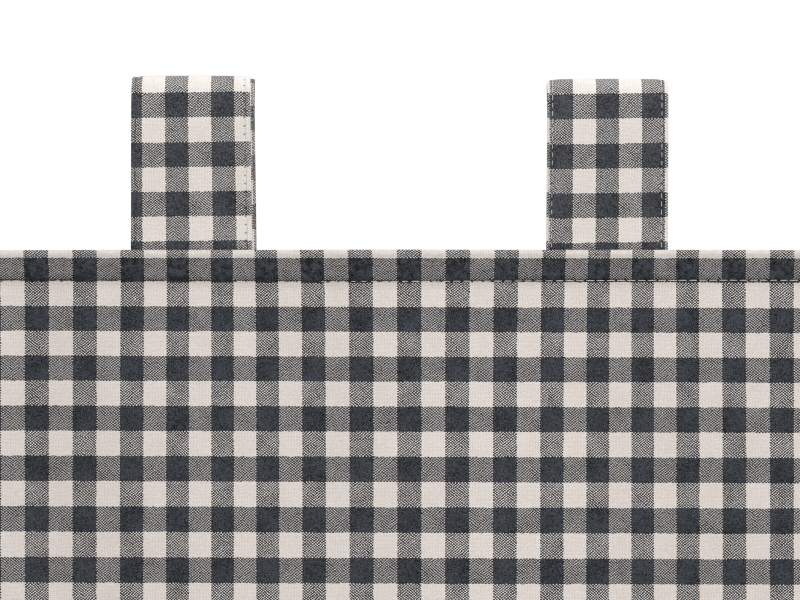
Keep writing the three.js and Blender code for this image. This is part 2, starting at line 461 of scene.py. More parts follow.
def make_panel(material):
    """The panel as one folded sheet: front, top fold, hem and back, closed all round."""
    near_side = edge_steps(SIDE_STITCH, SIDE_HEM)
    inner = HALF_WIDTH - near_side[-1]
    x = np.array([s - HALF_WIDTH for s in near_side] + spaced(-inner, inner, COLUMN_STEP)[1:-1]
                 + [HALF_WIDTH - s for s in reversed(near_side)])
    top = edge_steps(TOP_STITCH, TOP_HEM)
    bottom = [PANEL_DROP - s for s in reversed(edge_steps(BOTTOM_STITCH, BOTTOM_HEM))]
    field = spaced(top[-1], bottom[0], ROW_STEP)[1:-1]
    below = np.array(top + field + bottom)

    # Stations run down the front from the top fold, and back up the back.
    count = len(below)
    station = np.concatenate([np.arange(count), np.arange(count - 2, 0, -1)])
    is_back = np.concatenate([np.zeros(count, bool), np.ones(count - 2, bool)])
    grid_x, grid_below = np.meshgrid(x, below[station])
    front, back = panel_faces(grid_x, grid_below)
    y = np.where(is_back[:, None], back, front)
    vertices = np.stack([grid_x, y, PANEL_TOP - grid_below], -1).reshape(-1, 3) * MM

    k, j = np.meshgrid(np.arange(len(station)), np.arange(len(x) - 1), indexing="ij")
    after = (k + 1) % len(station)
    corners = ((k, j), (after, j), (after, j + 1), (k, j + 1))
    faces = np.stack([strip * len(x) + cell for strip, cell in corners], -1)

    # The cloth of a hem carries on past its fold, so its checks there run the other way.
    strip_back = is_back[k] | is_back[after]
    hem_mid = (below[station[k]] + below[station[after]]) / 2
    turned_top = strip_back & (hem_mid < TOP_HEM)
    turned_bottom = strip_back & (hem_mid > PANEL_DROP - BOTTOM_HEM)
    side_mid = HALF_WIDTH - np.abs(x[j] + x[j + 1]) / 2
    turned_side = strip_back & (side_mid < SIDE_HEM) & ~turned_top
    weave, seam = [], []
    for strip, cell in corners:
        at_x, at_below = x[cell], below[station[strip]]
        seam.append(panel_seam(at_x, at_below))
        depth = cloth_front(at_x, at_below) - HEM_FRONT_Y
        at_below = np.where(turned_top, -at_below, at_below)
        at_below = np.where(turned_bottom, 2 * PANEL_DROP - at_below, at_below)
        at_x = np.where(turned_side, np.sign(at_x) * 2 * HALF_WIDTH - at_x, at_x)
        weave.append(panel_checks(*as_seen(at_x, at_below, depth)))
    weave = (np.stack(weave, 2) - (0, ROWS_ABOVE_TILE)) / PANEL_TILE
    maps = {WEAVE_MAP: weave, SEAM_MAP: np.stack(seam, 2)}
    return make_object("panel_cloth", vertices, faces.reshape(-1, 4).tolist(), maps, material)


def loop_path(offset, rise):
    """Depth, height over the panel's edge, outward direction and distance along a tab's layer, from the
    front leg's tail over the rod to the back leg's. offset is its distance out from the inside face."""
    radius = TAB_INSIDE_RADIUS + offset
    centre = rise - TAB_INSIDE_RADIUS - TAB_THICK
    leg = np.linspace(0, 1, LEG_POINTS)
    height = TAB_SPLIT_ABOVE_EDGE + (centre - TAB_SPLIT_ABOVE_EDGE) * leg
    curve = LEG_EASED * smoothstep(leg, 0, 1) + (1 - LEG_EASED) * np.sin(np.pi / 2 * leg)
    depth = offset + (radius - offset) * curve
    arc = np.linspace(0, np.pi, FOLD_POINTS)[1:-1]
    depth = np.concatenate([[-offset], -depth, -radius * np.cos(arc), depth[::-1], [offset]])
    top = centre + radius * np.sin(arc)
    height = np.concatenate([[-TAB_TAIL], height, top, height[::-1], [-TAB_TAIL]])
    run = np.concatenate([[0], np.cumsum(np.hypot(np.diff(depth), np.diff(height)))])
    even = np.linspace(0, run[-1], LOOP_STATIONS)
    depth, height = np.interp(even, run, depth), np.interp(even, run, height)
    for _ in range(LOOP_SMOOTHINGS):
        depth[1:-1] = (depth[:-2] + 2 * depth[1:-1] + depth[2:]) / 4
    step_depth, step_height = np.gradient(depth), np.gradient(height)
    length = np.hypot(step_depth, step_height)
    out = np.stack([-step_height / length, step_depth / length], -1)
    up = even + LEG_MIDDLE - np.interp(LEG_MIDDLE, height[:FRONT_STATIONS], even[:FRONT_STATIONS])
    return depth, height, out, up


def tab_sway(index, across, up, height):
    """How far a tab's legs bow in and out, in shallow swells that fade towards its seam."""
    swell = SWAY * np.sin(across / SWAY_ACROSS + index) * np.sin(up / SWAY_UP + SWAY_TURN * index)
    return swell * np.clip(height / SWAY_FULL_AT, 0, 1)


def fold_sag(tab, across, height):
    """How far the fold over the rod sags towards its two edges."""
    near_top = np.clip((height - tab["rise"]) / FOLD_SAG_REACH + 1, 0, 1)
    return FOLD_SAG * near_top * (np.abs(across) / TAB_HALF) ** 4


def back_width(up):
    """The width of a tab's strip against its front leg's: its back leg was pulled a little narrower."""
    return 1 - BACK_NARROWED * smoothstep(up, FOLD_FROM, FOLD_TO)


def tab_place(tab, index, across, depth, height):
    """World millimetres of a point on a tab, with its flare, its lean and its place on the rod."""
    base = np.clip(1 - height / tab["rise"], 0, 1)
    across = across * (1 + tab["flare"] / TAB_HALF * base) + tab["shift"]
    lean = math.radians(tab["lean"])
    x = (index - (TAB_COUNT - 1) / 2) * TAB_PITCH + across * math.cos(lean) + height * math.sin(lean)
    z = PANEL_TOP + height * math.cos(lean) - across * math.sin(lean)
    return np.stack([x, depth, z], -1)


def tab_relief(tab, across, half_left, half_right):
    """How far a tab's outer layer stands out: raised over its turned-in edges, drawn in at its stitches."""
    left, right = across + half_left, half_right - across
    dip = bell(left - tab["sew_left"], TAB_CHANNEL_REACH) + bell(right - tab["sew_right"], TAB_CHANNEL_REACH)
    turned = bell(left - TURNED_EDGE_AT, TURNED_EDGE_REACH) + bell(right - TURNED_EDGE_AT, TURNED_EDGE_REACH)
    return TURNED_EDGE_RAISED * turned - TAB_CHANNEL_DEPTH * dip


def tab_checks(tab, layer, across, up):
    """Column and row of the gingham on a tab's strip, whose grain is a little off square."""
    aside = across + tab["twist_column"] * (up - LEG_MIDDLE)
    column = tab["column"] + layer["column"] + aside / tab["wide"]
    row = layer["row"] + (tab["row"] + tab["twist_row"] * across - up) / tab["tall"]
    return np.stack(np.broadcast_arrays(column, row), -1) / TAB_TILE


# Beside a tab's left line the groove's painted shade is narrower, and the edge past that line gets no paler
# flecks.
LEFT_GROOVE_NARROWED = 3.5
LEFT_PAST_MOST = 1.4


def tab_seam(tab, across, up):
    """Stitches along a tab's edge lines, and millimetres past the nearer line towards its edge."""
    past_left = np.minimum((tab["sew_left"] - TAB_HALF - across) * LEFT_GROOVE_NARROWED, LEFT_PAST_MOST)
    past = np.maximum(past_left, tab["sew_right"] - TAB_HALF + across)
    past = np.clip(past, -SEAM_REACH, SEAM_REACH)
    return np.stack(np.broadcast_arrays(up / TAB_STITCH_PITCH, past), -1)


def tab_layer(tab, index, layer):
    """One layer of a tab: its points in metres, its faces, and its points' places in the two UV maps."""
    depth, height, out, up = loop_path(layer["offset"], tab["rise"])
    edge_in = np.array(TAB_EDGE_STEPS)
    middle = spaced(TAB_MIDDLE_FROM - layer["left"], layer["right"] - TAB_MIDDLE_FROM, TAB_COLUMN_STEP)
    across = np.concatenate([edge_in - layer["left"], middle, layer["right"] - edge_in[::-1]])
    half = TAB_LAYER / 2 * crown(np.minimum(across + layer["left"], layer["right"] - across), TAB_EDGE_ROUND)
    relief = layer["relief"] * tab_relief(tab, across, layer["left"], layer["right"])

    # The section runs across the outer face and back along the inner one.
    last = len(across) - 1
    section = np.concatenate([np.arange(last + 1), np.arange(last - 1, 0, -1)])
    outside = np.concatenate([np.ones(last + 1), -np.ones(last - 1)])
    stand = outside * half[section] + relief[section]
    at_across = across[section] * back_width(up)[:, None]
    at_height = height[:, None] + out[:, 1:] * stand - fold_sag(tab, at_across, height[:, None])
    at_depth = depth[:, None] + out[:, :1] * stand + tab_sway(index, at_across, up[:, None], at_height)
    points = tab_place(tab, index, at_across, at_depth, at_height).reshape(-1, 3) * MM

    stations, around = at_depth.shape
    s, c = np.meshgrid(np.arange(stations - 1), np.arange(around), indexing="ij")
    after = (c + 1) % around
    corners = ((s, c), (s, after), (s + 1, after), (s + 1, c))
    faces = np.stack([strip * around + cell for strip, cell in corners], -1).reshape(-1, 4).tolist()
    # The two ends of the strip are closed between its faces, with a triangle at each edge.
    front = np.arange(1, last - 1)
    cap = np.stack([front, around - front, around - front - 1, front + 1], -1).tolist()
    cap += [[0, around - 1, 1], [last - 1, last + 1, last]]
    for end, turn in ((0, 1), (stations - 1, -1)):
        faces += [[corner + end * around for corner in ring[::turn]] for ring in cap]
    weave = tab_checks(tab, layer, across[section], up[:, None]).reshape(-1, 2)
    seam = tab_seam(tab, across[section], up[:, None]).reshape(-1, 2)
    return points, faces, weave, seam


def make_tab(tab, index, material):
    """A tab as two layers of cloth: the outer strip, and the inner one, which may stand out at an edge."""
    outer = {"offset": TAB_THICK - TAB_LAYER / 2 - LAYER_INSET, "relief": 1, "left": TAB_HALF,
             "right": TAB_HALF, "column": 0.0, "row": 0.0}
    inner = {"offset": TAB_LAYER / 2 + LAYER_INSET, "relief": 0,
             "left": TAB_HALF + tab["under_left"] - INNER_NARROWED,
             "right": TAB_HALF + tab["under_right"] - INNER_NARROWED,
             "column": tab["under_column"], "row": tab["under_row"]}
    points, faces, weave, seam = tab_layer(tab, index, outer)
    inner_points, inner_faces, inner_weave, inner_seam = tab_layer(tab, index, inner)
    faces += [[corner + len(points) for corner in face] for face in inner_faces]
    corners = np.concatenate(faces)
    maps = {WEAVE_MAP: np.concatenate([weave, inner_weave])[corners],
            SEAM_MAP: np.concatenate([seam, inner_seam])[corners]}
    vertices = np.concatenate([points, inner_points])
    return make_object(f"{tab['name']}_cloth", vertices, faces, maps, material)


# Yarns: how far they stray, in checks, and how often, how far a float leans, the flecks of fibre across a
# yarn, and its slubs' length in yarns. The next three keep one yarn or hole from looking like the next.
# Then come the width of a worn edge's paler flecks, partly painted sheen, how pale they are at most, and the
# yarns' relief.
YARN_STRAY = 0.1
STRAYS_PER_CHECK = 4.5
FLOAT_LEAN = 0.95
FLECKS_PER_YARN = 3
SLUB_LENGTH = 5.0
SLUBS_APART = 3.7
PICKS_NUMBERED_FROM = 500.5
HOLES_APART = 5.3
RUBBED_SHEEN_WIDE = 1.1
RUBBED_SHEEN_PALE = 0.38
YARN_RELIEF = 0.12

# What a row of the weave's recipe does, where it isn't plain arithmetic. A span's terms are its value, the
# two ends of its range and the two results there. A cloud's are its place, its place on a line, its scale,
# its detail and its roughness. Where its place is in checks, a scale of 1 makes it about 10 mm long.
RECIPE_NODES = {
    "SPAN": ("ShaderNodeMapRange", {}),
    "EASED SPAN": ("ShaderNodeMapRange", {"interpolation_type": "SMOOTHSTEP"}),
    "POINT": ("ShaderNodeCombineXYZ", {}),
    "CLOUD": ("ShaderNodeTexNoise", {}),
    "LINE OF CLOUD": ("ShaderNodeTexNoise", {"noise_dimensions": "1D"}),
    "FLECK": ("ShaderNodeTexWhiteNoise", {"noise_dimensions": "2D"}),
}


def gingham_cotton(cloth):
    """Yarn-dyed gingham cotton in plain weave: matt, with each warp end and weft pick showing in turn.

    Where a charcoal stripe crosses an off-white one the eye sees single yarns as fine dots."""
    material, tree, surface = new_material(cloth["name"], {
        "Roughness": 0.9, "Specular IOR Level": 0.25, "Sheen Weight": 0.05, "Sheen Roughness": 0.5})
    laid = add_node(tree, "ShaderNodeUVMap", {"uv_map": WEAVE_MAP})
    checks = add_node(tree, "ShaderNodeVectorMath", {"operation": "MULTIPLY"},
                      {0: laid.outputs[0], 1: (*cloth["tile"], 1)})
    stray = add_node(tree, "ShaderNodeTexNoise", None,
                     {"Vector": checks.outputs[0], "Scale": STRAYS_PER_CHECK, "Detail": 2.0,
                      "Roughness": 0.6})
    aside = add_node(tree, "ShaderNodeVectorMath", {"operation": "SUBTRACT"},
                     {0: stray.outputs[1], 1: (0.5, 0.5, 0.5)})
    strayed = add_node(tree, "ShaderNodeVectorMath", {"operation": "MULTIPLY_ADD"},
                       {0: aside.outputs[0], 1: (YARN_STRAY,) * 3, 2: checks.outputs[0]})
    at = add_node(tree, "ShaderNodeSeparateXYZ", None, {0: strayed.outputs[0]})
    seam = add_node(tree, "ShaderNodeUVMap", {"uv_map": SEAM_MAP})
    sewn = add_node(tree, "ShaderNodeSeparateXYZ", None, {0: seam.outputs[0]})
    made = {"checks": checks.outputs[0], "across": at.outputs[0], "down": at.outputs[1],
            "stitch": sewn.outputs[0], "past": sewn.outputs[1]}
    oval_change = cloth["weft_oval"] - cloth["warp_oval"]
    float_painted_shade_change = cloth["weft_float_painted_shade"] - cloth["warp_float_painted_shade"]
    rubbed_sheen_to = cloth["rubbed_sheen_from"] + RUBBED_SHEEN_WIDE
    # Each row has the name of its result, what is done, and its terms: numbers or the names of earlier
    # results, with None for a term that is left as it is.
    recipe = (
        # The end and the pick that cross here, how far across each, and whether the weft is on top.
        ("end_at", "MULTIPLY", "across", ENDS_PER_CHECK),
        ("pick_at", "MULTIPLY", "down", PICKS_PER_CHECK),
        ("end", "FLOOR", "end_at"),
        ("pick", "FLOOR", "pick_at"),
        ("end_part", "FRACT", "end_at"),
        ("pick_part", "FRACT", "pick_at"),
        ("crossing", "ADD", "end", "pick"),
        ("weft_over", "FLOORED_MODULO", "crossing", 2),
        # The dyed stripes: whether each yarn is pale, the one on top and the one below it.
        ("column", "FLOOR", "across"),
        ("row", "FLOOR", "down"),
        ("warp_pale", "FLOORED_MODULO", "column", 2),
        ("weft_pale", "FLOORED_MODULO", "row", 2),
        ("pale_change", "SUBTRACT", "weft_pale", "warp_pale"),
        ("over_pale", "MULTIPLY_ADD", "weft_over", "pale_change", "warp_pale"),
        ("both_pale", "ADD", "weft_pale", "warp_pale"),
        ("under_pale", "SUBTRACT", "both_pale", "over_pale"),
        # Flecks of fibre, a third of a yarn across.
        ("end_fibre", "MULTIPLY", "end_at", FLECKS_PER_YARN),
        ("pick_fibre", "MULTIPLY", "pick_at", FLECKS_PER_YARN),
        ("end_fleck", "FLOOR", "end_fibre"),
        ("pick_fleck", "FLOOR", "pick_fibre"),
        ("fleck_at", "POINT", "end_fleck", "pick_fleck"),
        ("fleck", "FLECK", "fleck_at"),
        # Slubs: which yarn is on top, and how far along it, so that each has its own thick and thin places.
        ("pick_number", "ADD", "pick", PICKS_NUMBERED_FROM),
        ("number_change", "SUBTRACT", "pick_number", "end"),
        ("number", "MULTIPLY_ADD", "weft_over", "number_change", "end"),
        ("yarn", "MULTIPLY", "number", SLUBS_APART),
        ("along_change", "SUBTRACT", "end_at", "pick_at"),
        ("along", "MULTIPLY_ADD", "weft_over", "along_change", "pick_at"),
        ("length", "MULTIPLY", "along", 1 / SLUB_LENGTH),
        ("slub_at", "POINT", "yarn", "length"),
        ("slub", "CLOUD", "slub_at", None, 1.0, 2.0, 0.7),
        ("slubbed", "SPAN", "slub", 0.38, 0.64, -0.5, 0.5),
        # A yarn's tone: the weft is the less even, and the dye has faded in slow clouds.
        ("fade", "CLOUD", "checks", None, 0.8, 2.0),
        ("faded", "SPAN", "fade", 0.36, 0.64, -0.5, 0.5),
        ("streak", "MULTIPLY_ADD", "weft_over", 0.25, 0.55),
        ("streaked", "MULTIPLY", "slubbed", "streak"),
        ("speckle", "MULTIPLY_ADD", "fleck", 1.7, -0.37),
        ("flecked", "ADD", "speckle", "streaked"),
        ("clouded", "MULTIPLY_ADD", "faded", 0.4, "flecked"),
        # A hem's charcoal is drawn in more uneven, mottled tones.
        ("in_hem", "SPAN", "past", -0.6, 0.6, 1.0, 0.0),
        ("mottle", "CLOUD", "checks", None, 4.0, 2.0),
        ("mottled", "SPAN", "mottle", 0.35, 0.65, -cloth["hem_mottle"], cloth["hem_mottle"]),
        ("tone", "MULTIPLY_ADD", "mottled", "in_hem", "clouded"),
        # The groove past a line of stitches, here and there bridged by a yarn, is painted shade: it hides
        # pale floats, partly as its shadow, and darkens the colour.
        ("from_groove", "SUBTRACT", "past", cloth["groove_past"]),
        ("groove_off", "ABSOLUTE", "from_groove"),
        ("groove_edge", "MULTIPLY_ADD", "groove_off", 1 / cloth["groove_half"], -cloth["groove_closed"]),
        ("bridged", "MULTIPLY_ADD", "fleck", cloth["groove_bridged"], "groove_edge"),
        ("float_share", "MINIMUM", "bridged", 1),
        ("seam_shade", "SPAN", "float_share", 0.1, 1.0, cloth["groove_shade"], 1.0),
        # Painted shade: a hem's double cloth is darker, as it lets less light through, and so is the cloth
        # beside its stitches.
        ("hem_painted_shade", "MULTIPLY_ADD", "in_hem", cloth["hem_painted_shade"] - 1, 1.0),
        ("seam_off", "ABSOLUTE", "past"),
        ("seam_painted_shade", "EASED SPAN", "seam_off", 0.3, 3.5, cloth["seam_painted_shade"], 1.0),
        # Needle holes lie between stitches, some drawn wider than others, each darkened with painted shade.
        ("stitch_part", "FRACT", "stitch"),
        ("to_hole", "PINGPONG", "stitch_part", 0.5),
        ("hole_along", "MULTIPLY", "to_hole", cloth["pitch"] / cloth["hole"]),
        ("hole_aside", "MULTIPLY", "past", 1 / cloth["hole"]),
        ("along_square", "MULTIPLY", "hole_along", "hole_along"),
        ("aside_square", "MULTIPLY", "hole_aside", "hole_aside"),
        ("from_hole", "ADD", "along_square", "aside_square"),
        ("hole_number", "ROUND", "stitch"),
        ("hole_seed", "MULTIPLY", "hole_number", HOLES_APART),
        ("pull", "LINE OF CLOUD", None, "hole_seed"),
        ("pulled", "SPAN", "pull", 0.35, 0.65, 0.45, 2.4),
        ("hole_far", "MULTIPLY", "from_hole", "pulled"),
        ("hole_shade", "SPAN", "hole_far", 0.4, 1.5, cloth["hole_shade"], 1.0),
        # A yarn is round, so its float is an oval, leant by the twist, and past that the yarn below shows.
        ("end_off", "MULTIPLY_ADD", "end_part", 2, -1),
        ("pick_off", "MULTIPLY_ADD", "pick_part", 2, -1),
        ("end_square", "MULTIPLY", "end_off", "end_off"),
        ("pick_square", "MULTIPLY", "pick_off", "pick_off"),
        ("off_square", "ADD", "end_square", "pick_square"),
        ("off_product", "MULTIPLY", "end_off", "pick_off"),
        ("twist", "CLOUD", "checks", None, 2.6, 1.0),
        ("lean", "SPAN", "twist", 0.44, 0.56, -FLOAT_LEAN, FLOAT_LEAN),
        ("leant_square", "MULTIPLY_ADD", "off_product", "lean", "off_square"),
        ("oval", "MULTIPLY_ADD", "weft_over", oval_change, cloth["warp_oval"]),
        ("slack", "CLOUD", "checks", None, 1.3, 3.0),
        ("loose", "SPAN", "slack", 0.3, 0.7, -0.5, 0.5),
        ("tension", "MULTIPLY_ADD", "loose", 0.5, "float_share"),
        ("open_oval", "MULTIPLY", "oval", "tension"),
        ("on_oval", "LESS_THAN", "leant_square", "open_oval"),
        # Painted shade: a pale float among dark yarns is dimmed, standing in for its neighbours' shadow.
        ("float_painted_shade", "MULTIPLY_ADD", "weft_over", float_painted_shade_change, cloth["warp_float_painted_shade"]),
        ("float_shows", "MULTIPLY", "on_oval", "float_painted_shade"),
        ("shows", "MAXIMUM", "float_shows", "under_pale"),
        ("woven", "MULTIPLY", "over_pale", "shows"),
        # A folded edge is worn, and flecks of its raised fibres are drawn paler: partly wear, partly painted
        # sheen.
        ("rubbed_sheen", "SPAN", "past", cloth["rubbed_sheen_from"], rubbed_sheen_to, 0.0, RUBBED_SHEEN_PALE),
        ("fibres", "MULTIPLY", "fleck", "fleck"),
        ("fuzz_sheen", "MULTIPLY", "rubbed_sheen", "fibres"),
        ("pale", "MAXIMUM", "woven", "fuzz_sheen"),
        # Height drives the bump, and painted shade darkens each float towards its edges, where the yarn turns
        # away.
        ("height", "MULTIPLY_ADD", "off_square", -0.5, 1),
        ("yarn_shade", "SPAN", "height", 0.0, 1.0, 0.72, 1.06),
    )
    for name, deed, *terms in recipe:
        kind, settings = RECIPE_NODES.get(deed, ("ShaderNodeMath", {"operation": deed}))
        inputs = {place: made.get(term, term) for place, term in enumerate(terms) if term is not None}
        made[name] = add_node(tree, kind, settings, inputs).outputs[0]

    blend = {"data_type": "RGBA"}
    dyed = []
    for dye in ("charcoal", "white"):
        thin, full = linear(cloth[f"{dye}_thin"]), linear(cloth[f"{dye}_full"])
        dyed.append(add_node(tree, "ShaderNodeMix", blend, {0: made["tone"], 6: thin, 7: full}).outputs[2])
    yarn = add_node(tree, "ShaderNodeMix", blend, {0: made["pale"], 6: dyed[0], 7: dyed[1]})
    colour = yarn.outputs[2]
    # The colour is darkened by each painted shade in turn.
    for name in ("yarn_shade", "hole_shade", "seam_shade", "hem_painted_shade", "seam_painted_shade"):
        colour = add_node(tree, "ShaderNodeVectorMath", {"operation": "SCALE"},
                          {0: colour, "Scale": made[name]}).outputs[0]
    bump = add_node(tree, "ShaderNodeBump", None,
                    {"Strength": 0.4, "Distance": YARN_RELIEF * MM, "Height": made["height"]})
    tree.links.new(colour, surface["Base Color"])
    tree.links.new(bump.outputs[0], surface["Normal"])
    return material


# Thread: its radius, how high a stitch bows, how deep its ends go in radii, the smallest and largest that a
# stitch is drawn, and the size of the twist in the thread.
THREAD_RADIUS = 0.17
STITCH_BOW = 0.3
STITCH_END_DEPTH = 0.9
STITCH_SMALLEST = (0.88, 0.9, 0.8)
STITCH_LARGEST = (1.06, 1.1, 1.2)
TWIST_SIZE = 0.4


def sewing_thread():
    """Spun polyester sewing thread in pale grey: slightly glossy, with a fine twist."""
    material, tree, surface = new_material("sewing_thread", {"Roughness": 0.6, "Specular IOR Level": 0.4})
    place = add_node(tree, "ShaderNodeTexCoord")
    twist = add_node(tree, "ShaderNodeTexNoise", None,
                     {"Vector": place.outputs["Object"], "Scale": 1 / (TWIST_SIZE * MM), "Detail": 1.0})
    colour = add_node(tree, "ShaderNodeMix", {"data_type": "RGBA"},
                      {0: twist.outputs[0], 6: linear("8f8c8a"), 7: linear("d9d5d0")})
    tree.links.new(colour.outputs[2], surface["Base Color"])
    return material


def stitch_tree(thread):
    """A tree that lays one stitch, a bowed length of thread, on each point of a stitch line."""
    tree = bpy.data.node_groups.new("stitches", "GeometryNodeTree")
    sizes = {"Stitch length": HEM_STITCH_PITCH - STITCH_GAP, "Thread radius": THREAD_RADIUS,
             "Stitch bow": STITCH_BOW}
    new_socket = tree.interface.new_socket
    new_socket("Geometry", in_out="INPUT", socket_type="NodeSocketGeometry")
    for name, value in sizes.items():
        new_socket(name, in_out="INPUT", socket_type="NodeSocketFloat").default_value = value * MM
    new_socket("Seed", in_out="INPUT", socket_type="NodeSocketInt").default_value = PANEL_SEED
    new_socket("Geometry", in_out="OUTPUT", socket_type="NodeSocketGeometry")
    given = add_node(tree, "NodeGroupInput")
    times = {"operation": "MULTIPLY"}
    half = add_node(tree, "ShaderNodeMath", times, {0: given.outputs["Stitch length"], 1: 0.5})
    less = add_node(tree, "ShaderNodeMath", times, {0: half.outputs[0], 1: -1.0})
    sunk = add_node(tree, "ShaderNodeMath", times, {0: given.outputs["Thread radius"], 1: -STITCH_END_DEPTH})
    start = add_node(tree, "ShaderNodeCombineXYZ", None, {0: less.outputs[0], 2: sunk.outputs[0]})
    middle = add_node(tree, "ShaderNodeCombineXYZ", None, {2: given.outputs["Stitch bow"]})
    end = add_node(tree, "ShaderNodeCombineXYZ", None, {0: half.outputs[0], 2: sunk.outputs[0]})
    line = add_node(tree, "GeometryNodeCurveQuadraticBezier", None,
                    {"Resolution": 4, "Start": start.outputs[0], "Middle": middle.outputs[0],
                     "End": end.outputs[0]})
    circle = add_node(tree, "GeometryNodeCurvePrimitiveCircle", None,
                      {"Resolution": 6, "Radius": given.outputs["Thread radius"]})
    stitch = add_node(tree, "GeometryNodeCurveToMesh", None,
                      {"Curve": line.outputs[0], "Profile Curve": circle.outputs[0], "Fill Caps": True})
    vector = {"data_type": "FLOAT_VECTOR"}
    along = add_node(tree, "GeometryNodeInputNamedAttribute", vector, {"Name": "along"})
    out = add_node(tree, "GeometryNodeInputNamedAttribute", vector, {"Name": "out"})
    turn = add_node(tree, "FunctionNodeAxesToRotation", {"primary_axis": "Z", "secondary_axis": "X"},
                    {0: out.outputs[0], 1: along.outputs[0]})
    size = add_node(tree, "FunctionNodeRandomValue", vector,
                    {"Min": STITCH_SMALLEST, "Max": STITCH_LARGEST, "Seed": given.outputs["Seed"]})
    laid = add_node(tree, "GeometryNodeInstanceOnPoints", None,
                    {"Points": given.outputs["Geometry"], "Instance": stitch.outputs[0],
                     "Rotation": turn.outputs[0], "Scale": size.outputs[0]})
    real = add_node(tree, "GeometryNodeRealizeInstances", None, {0: laid.outputs[0]})
    smooth = add_node(tree, "GeometryNodeSetShadeSmooth", None, {0: real.outputs[0]})
    coloured = add_node(tree, "GeometryNodeSetMaterial", None, {0: smooth.outputs[0], "Material": thread})
    add_node(tree, "NodeGroupOutput", None, {0: coloured.outputs[0]})
    return tree


def lay_stitches(name, tree, seed, length, points, along, out):
    """One mesh of stitches: points in millimetres, with the direction of the line and of the surface."""
    mesh = bpy.data.meshes.new(name)
    mesh.from_pydata((np.asarray(points) * MM).tolist(), [], [])
    for label, vectors in (("along", along), ("out", out)):
        store = mesh.attributes.new(label, "FLOAT_VECTOR", "POINT")
        store.data.foreach_set("vector", np.asarray(vectors, dtype=np.float32).ravel())
    made = add_object(name, mesh)
    modifier = made.modifiers.new("stitches", "NODES")
    modifier.node_group = tree
    sockets = {item.name: item.identifier for item in tree.interface.items_tree if item.in_out == "INPUT"}
    modifier[sockets["Seed"]] = seed
    modifier[sockets["Stitch length"]] = length * MM
    graph = bpy.context.evaluated_depsgraph_get()
    plain = bpy.data.meshes.new_from_object(made.evaluated_get(graph))
    made.modifiers.clear()
    made.data = plain
    bpy.data.meshes.remove(mesh)
    return made


def unit(vectors):
    """The directions of vectors."""
    return vectors / np.linalg.norm(vectors, axis=1, keepdims=True)


def surface_directions(place, u, v, toward):
    """Directions along u and out of a surface, from small steps on it."""
    step = 0.2
    along = place(u + step, v) - place(u - step, v)
    up = place(u, v + step) - place(u, v - step)
    out = np.cross(along, up)
    return unit(along), unit(out * np.sign(out[:, 1:2]) * toward)


# Stitch lines end short of the panel's edges, the other hems and the tabs behind.
LINE_ENDS_IN = 2.0
LINE_CLEAR = 1.0

# The top hem was sewn tighter towards its left, where the cloth closes over the thread.
TIGHT_SUNK = 0.3
TIGHT_TO_LOOSE = (-75.0, 35.0)

# How deep the tabs' thread lies in the cloth, along their edges and at their tails, and where the row across
# a tail starts and ends, in from its edges.
TAB_THREAD_SUNK = 0.18
TAIL_THREAD_SUNK = 0.02
TAIL_ROW_START = 1.5
TAIL_ROW_END = 1.0

# Seeds of the stitches' small differences.
PANEL_SEED = 3
FIRST_TAB_SEED = 11


def panel_stitches(tree):
    """Lockstitch along the top, side and bottom hems, on the front and on the back."""
    points, alongs, outs = [], [], []

    def add_line(x, below, is_back, upright, sunk=0.0):
        def place(u, v):
            at_x, at_below = (v, u) if upright else (u, v)
            return np.stack([at_x, panel_faces(at_x, at_below)[is_back], PANEL_TOP - at_below], -1)

        u, v = (below, x) if upright else (x, below)
        along, out = surface_directions(place, u, v, 1 if is_back else -1)
        points.append(place(u, v) - out * np.reshape(sunk, (-1, 1)))
        alongs.append(along)
        outs.append(out)

    half_count = int((HALF_WIDTH - LINE_ENDS_IN) / HEM_STITCH_PITCH)
    x = (np.arange(-half_count, half_count) + 0.5) * HEM_STITCH_PITCH
    below = (np.arange(int(PANEL_DROP / HEM_STITCH_PITCH)) + 0.5) * HEM_STITCH_PITCH
    below = below[(below > TOP_HEM + LINE_CLEAR) & (below < PANEL_DROP - BOTTOM_HEM - LINE_CLEAR)]
    tab_at = (np.arange(TAB_COUNT) - (TAB_COUNT - 1) / 2) * TAB_PITCH
    behind_tab = (np.abs(x[:, None] - tab_at) < TAB_WIDTH / 2 + LINE_CLEAR).any(1)
    for is_back in (0, 1):
        row = x[~behind_tab] if is_back else x
        tight = TIGHT_SUNK * (1 - smoothstep(row, *TIGHT_TO_LOOSE))
        add_line(row, top_stitch(row), is_back, False, tight)
        add_line(x, np.full_like(x, PANEL_DROP - BOTTOM_STITCH), is_back, False)
        for side in (-1, 1):
            add_line(np.full_like(below, side * (HALF_WIDTH - SIDE_STITCH)), below, is_back, True)
    length = HEM_STITCH_PITCH - STITCH_GAP
    lines = map(np.concatenate, (points, alongs, outs))
    return lay_stitches("panel_stitches", tree, PANEL_SEED, length, *lines)


